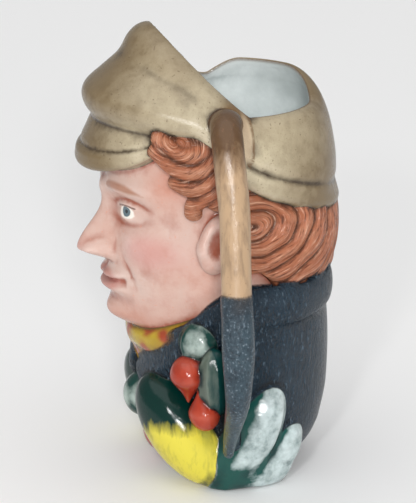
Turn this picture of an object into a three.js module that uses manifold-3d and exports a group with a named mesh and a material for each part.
// A character jug: a glazed earthenware head in a soft cap, open at the top, with a spade for its handle.
// Millimetres, +Z up. The face looks towards -Y and the handle is on the +X side.
// The origin is the middle of the flat base, on the surface that the jug stands on.
import * as THREE from "three";
import { ParametricGeometry } from "three/addons/geometries/ParametricGeometry.js";
import { mergeVertices } from "three/addons/utils/BufferGeometryUtils.js";
import Module from "manifold-3d";

const wasm = await Module();
wasm.setup();

// Driving dimensions.
const height = 190; // base to the peak of the cap
const wall = 4.5; // thickness of the cast wall
const floorThickness = 5;
const shaftThickness = 11.5; // of the spade's wooden shaft
const bladeThickness = 5;

// ---- Small tools -------------------------------------------------------------------------------------------

const { sin, cos, abs, max, min, pow, exp, sqrt, PI } = Math;
const point = (x, y, z) => new THREE.Vector3(x, y, z);
const mix = (a, b, t) => a + (b - a) * t;
const hill = (t) => exp(-t * t); // 1 at 0, and close to 0 beyond 2
const ease = (low, high, t) => THREE.MathUtils.smoothstep(t, low, high);
const radians = THREE.MathUtils.degToRad;

// A closed mesh as a solid that can be joined and cut. Triangles that collapse at a pole are dropped.
function solidOf(geometry) {
  const bare = geometry.clone();
  for (const name of Object.keys(bare.attributes)) {
    if (name !== "position") bare.deleteAttribute(name);
  }
  const merged = mergeVertices(bare, 1e-4);
  const corners = merged.index.array;
  const kept = [];
  for (let i = 0; i < corners.length; i += 3) {
    const [a, b, c] = corners.slice(i, i + 3);
    if (a !== b && b !== c && a !== c) kept.push(a, b, c);
  }
  const mesh = new wasm.Mesh({
    numProp: 3,
    vertProperties: new Float32Array(merged.attributes.position.array),
    triVerts: new Uint32Array(kept),
  });
  mesh.merge();
  return new wasm.Manifold(mesh);
}

function geometryOf(solid) {
  const mesh = solid.getMesh();
  const geometry = new THREE.BufferGeometry();
  geometry.setAttribute("position", new THREE.BufferAttribute(mesh.vertProperties, 3));
  geometry.setIndex(new THREE.BufferAttribute(mesh.triVerts, 1));
  return geometry;
}

const joined = (geometries) => geometries.map(solidOf).reduce((whole, next) => whole.add(next));

// The same form on the other side of the jug.
function mirrored(geometry) {
  const other = geometry.clone().applyMatrix4(new THREE.Matrix4().makeScale(-1, 1, 1));
  const corners = other.index.array;
  for (let i = 0; i < corners.length; i += 3) {
    [corners[i], corners[i + 1]] = [corners[i + 1], corners[i]];
  }
  return other;
}
const pair = (geometry) => [geometry, mirrored(geometry)];

// A closed skin of rings. place(angle, t) is a point of the ring at t, from 0 to 1, and each end is
// closed to the middle of its ring. The angle is 0 at the front, a quarter turn at the handle's side
// and a half turn at the back. A positive dense bunches the columns at the front.
function ringForm(place, around, rings, dense = 0) {
  const middle = (t) => {
    const sum = point(0, 0, 0);
    for (let i = 0; i < 8; i++) sum.add(place((i * PI) / 4, t));
    return sum.divideScalar(8);
  };
  const ends = [middle(0), middle(1)];
  const skin = (u, v, target) => {
    const row = v * (rings + 2) - 1;
    if (row < -0.5) target.copy(ends[0]);
    else if (row > rings + 0.5) target.copy(ends[1]);
    else target.copy(place(2 * PI * u - dense * sin(2 * PI * u), min(max(row / rings, 0), 1)));
  };
  return new ParametricGeometry(skin, around, rings + 2);
}

// A value that runs smoothly through keys, each [position, value].
function along(keys) {
  const curve = new THREE.SplineCurve(keys.map(([at, value]) => new THREE.Vector2(at, value)));
  const places = keys.map(([at]) => at);
  return (at) => {
    const held = min(max(at, places[0]), places[places.length - 1]);
    const span = max(places.findIndex((p) => p >= held), 1);
    const share = (held - places[span - 1]) / (places[span] - places[span - 1]);
    return curve.getPoint((span - 1 + share) / (places.length - 1)).y;
  };
}

// An oval solid: half sizes along its own axes, turned (degrees) and placed.
// shape may move its points, which are given on the unit sphere.
function oval([x, y, z], [a, b, c], turns = [0, 0, 0], [around, rings] = [10, 7], shape) {
  const geometry = new THREE.SphereGeometry(1, around, rings);
  const spot = new THREE.Vector3();
  const position = geometry.attributes.position;
  for (let i = 0; shape && i < position.count; i++) {
    spot.fromBufferAttribute(position, i);
    shape(spot);
    position.setXYZ(i, spot.x, spot.y, spot.z);
  }
  const turn = new THREE.Euler(...turns.map(radians));
  geometry.rotateX(PI / 2);
  geometry.applyMatrix4(new THREE.Matrix4().makeScale(a, b, c));
  geometry.applyMatrix4(new THREE.Matrix4().makeRotationFromEuler(turn));
  return geometry.translate(x, y, z);
}

// A roll that follows points and ends rounded. Its section is an oval: wide lies flat on the jug's side
// and thick stands out from it. Both may change with the share of the way, v. A given across fixes the
// direction of wide.
function roll(points, wide, thick, { sides = 8, steps = 12, ends = 0.15, across } = {}) {
  const path = new THREE.CatmullRomCurve3(points.map((p) => point(...p)));
  const size = (value, v) => (typeof value === "function" ? value(v) : value);
  const skin = (u, v, target) => {
    const at = path.getPoint(v);
    const way = path.getTangent(v);
    const out = across ? point(...across).cross(way) : point(at.x, at.y, 0);
    const side = way.clone().cross(out).normalize();
    out.crossVectors(side, way).normalize();
    const swell = sqrt(max(1 - (1 - min(min(v, 1 - v) / ends, 1)) ** 2, 0));
    const turn = -2 * PI * u;
    target.copy(at).addScaledVector(side, (cos(turn) * size(wide, v) * swell) / 2);
    target.addScaledVector(out, (sin(turn) * size(thick, v) * swell) / 2);
  };
  return new ParametricGeometry(skin, sides, steps);
}

// ---- Body: the jacket's bust, standing on the flat base ------------------------------------------------------

const torso = {
  bottom: 0,
  top: 92,
  front: along([[0, 26], [8, 30], [20, 34], [40, 34.5], [60, 34.5], [78, 30], [92, 26]]),
  back: along([[0, 24], [8, 30], [14, 36], [20, 39], [35, 42], [60, 42.3], [80, 40.3], [92, 36.5]]),
  side: along([[0, 34], [8, 38], [20, 41], [40, 43], [60, 43], [80, 42], [92, 37]]),
};

// A level outline that is an oval with its own reach to the front, the back and the sides.
function level(form, z, angle, inset = 0) {
  const reach = cos(angle) > 0 ? form.front(z) : form.back(z);
  return point(sin(angle) * (form.side(z) - inset), -cos(angle) * (reach - inset), z);
}

const torsoForm = () => ringForm((angle, t) => level(torso, mix(torso.bottom, torso.top, t), angle), 28, 8);

// ---- Head ----------------------------------------------------------------------------------------------------

const face = { chin: 64, mouth: 84.5, noseBase: 95, eyes: 116, brow: 124.5, eyeOut: 15.5 };
const head = {
  bottom: 60,
  top: 154,
  front: along([[60, 31], [64, 41], [68, 46], [76, 48.5], [84, 49.5], [95, 50], [110, 50], [125, 51.5], [140, 51], [154, 46]]),
  back: along([[60, 34], [80, 37], [110, 40], [154, 37]]),
  side: along([[60, 26], [66, 31], [74, 35], [86, 38], [100, 39.5], [112, 40], [130, 39.5], [154, 37]]),
};

// How far the face stands forward of the plain head, at a place across (x) and up (z).
function relief(x, z) {
  const a = abs(x);
  const down = 1 - ease(face.noseBase + 3, face.brow - 3, z);
  const ridge = mix(2.5, 13.5, pow(down, 1.25)) * ease(face.noseBase - 3, face.noseBase + 2.5, z);
  const ridgeEnd = 1 - ease(face.brow - 2, face.brow + 5, z);
  const nose = ridge * ridgeEnd * hill(a / mix(4.5, 7.2, down));
  const wings = 4.2 * hill((a - 6.5) / 3.4) * hill((z - face.noseBase - 2.5) / 3.6);
  const brow = 2.6 * hill((a - 14) / 12) * hill((z - face.brow - 1) / 4.5);
  const socket = -5.5 * hill((a - face.eyeOut) / 9) * hill((z - face.eyes - 0.5) / 6);
  const ball = 4.6 * hill((a - face.eyeOut) / 6.2) * hill((z - face.eyes) / 4);
  const cheek = 2.8 * hill((a - 22) / 10) * hill((z - 103) / 9);
  const muzzle = 2.4 * hill(a / 17) * hill((z - face.mouth) / 10);
  const width = hill(pow(a / 13.5, 2));
  const upperLip = 2.1 * width * hill((z - face.mouth - 2.3) / 1.9);
  const lowerLip = 2.6 * width * hill((z - face.mouth + 2.8) / 2.2);
  const mouthLine = -1.6 * width * hill((z - face.mouth) / 1.1);
  const fold = -1.4 * hill(a / 11) * hill((z - face.chin - 12.5) / 3);
  const chin = 4.5 * hill(a / 11) * hill((z - face.chin - 5.5) / 6);
  return nose + wings + brow + socket + ball + cheek + muzzle + upperLip + lowerLip + mouthLine + fold + chin;
}

function headForm() {
  const place = (angle, t) => {
    const spot = level(head, mix(head.bottom, head.top, t), angle);
    spot.y -= relief(spot.x, spot.z) * ease(0.15, 0.6, cos(angle));
    return spot;
  };
  return ringForm(place, 34, 25, 0.62);
}

const ear = { at: [40, -14.5, 107], half: [5, 8.5, 12.5], turns: [-10, 0, 18] };
const earForm = () => oval(ear.at, ear.half, ear.turns);
const earHollow = () => oval([45.8, -15.5, 109], [3.4, 4.8, 8], ear.turns, [9, 6]);

// ---- Hair: a mass round the back in arcs of locks, a curl at each temple and a sideburn -----------------------

const hair = { bottom: 84.5, top: 134, from: radians(78), depth: 4.8, lock: 9, centre: [-3, 116], lift: 9 };
hair.edge = along([[hair.bottom, 0.5], [89, 0.95], [96, 1.05], [108, 1.05], [120, 0.7], [hair.top, 0.1]]);

// Locks follow rounded arcs about a centre at the side, so they stand upright at the back and sweep
// forward at the bottom.
function lockRidge(spot) {
  const round = 42 * (Math.atan2(spot.y, abs(spot.x)));
  const [u, w] = [(round - hair.centre[0]) * 0.65, spot.z - hair.centre[1]];
  const phase = (Math.hypot(u, w) / hair.lock) * PI;
  return 1.5 * abs(sin(phase)) - 0.7;
}

function hairForm() {
  const place = (angle, t) => {
    const turned = abs(((angle + PI) % (2 * PI)) - PI);
    const lift = hair.lift * (1 - ease(0, 0.45, -cos(angle)));
    const z = mix(hair.bottom + lift, hair.top, t);
    const shown = ease(hair.from, hair.from + 0.12, turned);
    const spot = level(head, z, angle);
    const out = mix(-6, hair.depth * hair.edge(z) + lockRidge(spot), shown);
    const flat = point(spot.x, spot.y, 0).normalize();
    return spot.addScaledVector(flat, out);
  };
  return ringForm(place, 26, 11, -0.5);
}

function templeForms() {
  const arcs = [
    [[38, -16, 150], [41, -24, 145], [38.5, -31, 145.5], [35, -37, 151]],
    [[39, -12, 147], [42, -22, 139], [39.5, -31, 139.5], [35, -38, 146]],
    [[39, -12, 141], [42, -20, 133], [41, -26, 131.5], [38.5, -31, 134]],
    [[40, -12, 137], [42, -18, 130], [41, -24, 125], [40.5, -24.5, 121]],
  ];
  return [oval([36.5, -24, 145], [5.8, 13.5, 10], [0, 0, -14]), ...arcs.map((points) => roll(points, 7.5, 6, { sides: 6, steps: 5 }))];
}

// ---- Cap -----------------------------------------------------------------------------------------------------

// Three upright profiles, each a list of [reach from the axis, share of the rise from the lower edge to the rim].
const capProfiles = {
  front: [[47, 0], [54.5, 0.05], [59.5, 0.2], [59.5, 0.36], [52, 0.54], [45, 0.7], [41, 0.87], [36.5, 1]],
  side: [[38.5, 0], [43.5, 0.06], [46, 0.22], [45.5, 0.42], [43.5, 0.58], [41.5, 0.74], [39, 0.9], [36.5, 1]],
  back: [[39, 0], [44, 0.05], [45.3, 0.15], [45, 0.28], [44.3, 0.5], [42.5, 0.74], [39.5, 0.9], [36, 1]],
};
const capCurves = Object.fromEntries(
  Object.entries(capProfiles).map(([name, list]) => [
    name,
    new THREE.SplineCurve(list.map(([reach, rise]) => new THREE.Vector2(reach, rise))),
  ]),
);
const cap = {
  // Height of the lower edge, by the cosine of the angle: 1 at the front, -1 at the back.
  lower: along([[-1, 112.5], [-0.57, 118], [-0.17, 124.5], [0.08, 131], [0.3, 142], [0.5, 149.5], [1, 150]]),
  rim: 157.5, // on the handle's side
  farLift: 8.8, // how much higher the rim stands on the other side
  peak: height,
};

function capUpper(angle) {
  const rim = cap.rim + cap.farLift * ease(-0.5, 0.5, -sin(angle)) * ease(-0.25, 0.4, -cos(angle));
  return mix(rim, cap.peak, pow(max(cos(angle), 0), 1.12 + 0.15 * max(-sin(angle), 0)));
}

// A place on the crown. Beyond t = 1 it goes straight up from the rim.
function capPlace(angle, t, inset = 0) {
  const on = min(t, 1);
  const end = (cos(angle) > 0 ? capCurves.front : capCurves.back).getPoint(on);
  const side = capCurves.side.getPoint(on);
  const share = cos(angle) ** 2;
  const reach = mix(side.x, end.x, share) - inset;
  const z = mix(cap.lower(cos(angle)), capUpper(angle), mix(side.y, end.y, share)) + (t - on) * 100;
  return point(sin(angle) * reach, -cos(angle) * reach, z);
}

const crownForm = () => ringForm((angle, t) => capPlace(angle, t), 30, 10, 0.15);

// The visor: pulled down over the brow, deepest in the middle and running out at its two ends.
// Its section is a ring of [reach, height] places, from its root under the crown round its edge.
const visor = {
  section: [[44, 153], [54.5, 154], [59.5, 146], [63.6, 136.5], [61.5, 132.8], [56, 133], [46, 134]],
  root: [44, 152.5],
  halfTurn: radians(47),
};

function visorForm() {
  const section = new THREE.SplineCurve([...visor.section, visor.section[0]].map(([r, z]) => new THREE.Vector2(r, z)));
  const skin = (u, v, target) => {
    const turn = mix(-visor.halfTurn, visor.halfTurn, v);
    const swell = sqrt(max(1 - (2 * v - 1) ** 2, 0));
    const spot = section.getPoint(u);
    const reach = mix(visor.root[0], spot.x, swell);
    target.set(sin(turn) * reach * 0.93, -cos(turn) * reach, mix(visor.root[1], spot.y, swell));
  };
  return new ParametricGeometry(skin, 10, 14);
}

// ---- Inside: the hollow left by the cast wall ----------------------------------------------------------------

function hollowForms() {
  const body = (angle, t) => level(torso, mix(floorThickness, torso.top - wall, t), angle, wall);
  const neck = (angle, t) => level(head, mix(head.bottom + wall, head.top, t), angle, wall);
  const slope = (angle) => wall * (1 + 0.35 * max(cos(angle), 0)); // the front wall leans back
  const top = (angle, t) => capPlace(angle, mix(0.12, 1.09, t), slope(angle));
  return [ringForm(body, 16, 5), ringForm(neck, 16, 5), ringForm(top, 24, 8)];
}

// ---- Collar and neckerchief ------------------------------------------------------------------------------------

const collar = {
  width: 15,
  thickness: 4.8,
  half: [
    [0, 41, 80], [22, 36.5, 80], [38, 21.5, 79.5], [43, 4, 80], [42, -9, 76], [37, -20, 67.5], [28, -29.5, 57.5],
    [17, -35.5, 48.5], [9, -38.5, 42],
  ],
};

function collarForm() {
  const left = collar.half.slice(1).map(([x, y, z]) => [-x, y, z]).reverse();
  const wide = (v) => mix(collar.width, collar.width + 3, hill((abs(v - 0.5) - 0.27) / 0.1));
  return roll([...left, ...collar.half], wide, collar.thickness, { sides: 6, steps: 24, ends: 0.06 });
}

function scarfForms() {
  const band = [[-34, -9, 73], [-29, -23, 66], [-15.5, -34, 60.5], [0, -37.5, 59.5], [15.5, -34, 60.5], [29, -23, 66], [34, -9, 73]];
  const fold = [[-20, -29, 57], [-9, -35, 54], [0, -36.5, 53], [9, -35, 54], [20, -29, 57]];
  const tail = [[1, -37, 56], [5, -36.5, 50.5], [9, -34, 44.5]];
  return [
    roll(band, 12, 11.5, { sides: 7, steps: 13 }),
    roll(fold, 9, 7.5, { sides: 6, steps: 8 }),
    oval([0, -38.5, 58.5], [6.5, 4.5, 6], [0, 0, 0]),
    ...pair(roll(tail, (v) => mix(7, 11, v), 5.5, { sides: 6, steps: 5, ends: 0.3 })),
  ];
}

// ---- Vegetables round the foot -----------------------------------------------------------------------------------

// A radish or turnip: round, running to a point along its own +Z.
const pointed = (spot) => {
  const tip = max(spot.y, 0) ** 2;
  spot.x *= 1 - 0.45 * tip;
  spot.z *= 1 - 0.45 * tip;
  spot.y *= 1 + 0.25 * tip;
};

function vegetableForms() {
  return [
    oval([25.5, -25.5, 23.5], [15.5, 14.5, 27.5], [33, -18, 0], [12, 9]), // marrow
    oval([39.5, -26.5, 52.5], [8.3, 7.6, 8.3], [180, 0, 10], [9, 7], pointed), // radish
    oval([43, -20.5, 53.5], [4.5, 5, 6.5], [170, 0, 0], [8, 6], pointed), // radish
    oval([44, -21, 37.5], [7, 6.5, 8], [10, 0, 0], [9, 7], pointed), // radish
    oval([36, -21, 65], [8.8, 8.8, 8.8], [0, 0, 0]), // bulb
    oval([45, -16.5, 50.5], [7, 7.5, 14.5], [4, 0, 0]), // pod
    oval([38, -2, 20], [10, 12, 27], [-26, 8, 0]), // cabbage leaf
    oval([34, 3, 7], [10, 15, 9], [0, 0, 0], [9, 6]), // cabbage heart
    oval([33, 10.5, 11.5], [9.5, 9.5, 17], [-38, 12, 0]), // cabbage leaf
    oval([1, -36, 31], [10, 9.5, 10], [0, 0, 0]), // turnip
    oval([-1, -27, 13], [13, 9.5, 10], [0, 0, 0]), // radish
    oval([-24, -24, 23], [15, 12.5, 25], [30, 16, 0]),
    oval([-37, -3, 20], [10.5, 12, 25], [-22, -8, 0]),
    oval([-32, -21, 52], [8, 7, 8], [0, 0, 0], [9, 6]),
    oval([-39, -13, 45], [7, 7.5, 10], [0, 0, 0], [9, 6]),
    oval([-31, 11, 14], [10, 10, 19], [-20, -12, 0]),
  ];
}

// ---- Handle: a spade set down the side, its shaft bent into the cap ----------------------------------------------

const spade = {
  shaft: [[30, -9, 148], [41, -11.5, 157], [51, -14, 157.5], [58.5, -15, 151.5], [62.5, -15, 142], [66.5, -14.5, 128], [70.5, -15, 110], [74.5, -15.5, 91]],
  // The iron, from its socket down the blade's outer edge to the point.
  metal: [
    [73.8, -15.5, 95], [76, -15.5, 85], [77.3, -15.5, 74], [77, -15.4, 63], [74, -15, 51.5], [66, -14.4, 40.5],
    [57, -13.4, 30], [51, -12.6, 22],
  ],
  metalWidth: along([[0, 12.6], [0.26, 13], [0.38, 11.6], [0.53, 9.6], [0.7, 7.6], [0.87, 5.8], [1, 4.4]]),
  metalDepth: along([[0, 11], [0.3, 10], [0.6, 8], [1, 5.5]]),
  // The blade's outline in the upright plane across the jug, as [x, z]: down its outer edge, then the part inside the body.
  blade: [[80, 76], [79, 63], [73.5, 50.5], [65, 40], [55, 29.5], [45, 19.5], [34, 17], [34, 60], [46, 66], [62, 69], [73, 78]],
  slant: -0.2, // how far the blade's plane runs back for each step across
};

function spadeForms() {
  const shape = new THREE.Shape(new THREE.SplineCurve(spade.blade.map(([x, z]) => new THREE.Vector2(x, z))).getPoints(16));
  const bevel = 1.3;
  const blade = new THREE.ExtrudeGeometry(shape, {
    depth: bladeThickness - 2 * bevel,
    bevelThickness: bevel,
    bevelSize: bevel,
    bevelOffset: -bevel,
    bevelSegments: 1,
  });
  blade.rotateX(PI / 2);
  blade.translate(0, bladeThickness / 2 - bevel, 0);
  blade.applyMatrix4(new THREE.Matrix4().set(1, 0, 0, 0, spade.slant, 1, 0, 0, 0, 0, 1, 0, 0, 0, 0, 1));
  const across = [0, 1, 0];
  return [
    roll(spade.shaft, (v) => shaftThickness + mix(1.5, 0.3, v), shaftThickness - 0.5, { sides: 8, steps: 13, ends: 0.04, across }),
    roll(spade.metal, spade.metalWidth, spade.metalDepth, { sides: 8, steps: 8, ends: 0.03, across }),
    blade,
  ];
}

// ---- Assembly ----------------------------------------------------------------------------------------------------

// Everything below the surface that the jug stands on, to be cut away.
const underFoot = () => new THREE.BoxGeometry(300, 300, 60).translate(0, 0, -30);

const outside = joined([
  torsoForm(),
  headForm(),
  ...pair(earForm()),
  hairForm(),
  ...templeForms().flatMap(pair),
  crownForm(),
  visorForm(),
  collarForm(),
  ...scarfForms(),
  ...vegetableForms(),
  ...spadeForms(),
]);
const cuts = joined([...hollowForms(), ...pair(earHollow()), underFoot()]);

const jug = new THREE.Group();
const glaze = new THREE.MeshStandardMaterial({ color: 0xb7ab97, roughness: 0.25, metalness: 0 });
const body = new THREE.Mesh(geometryOf(outside.subtract(cuts)), glaze);
body.name = "jug";
jug.add(body);

export default jug;
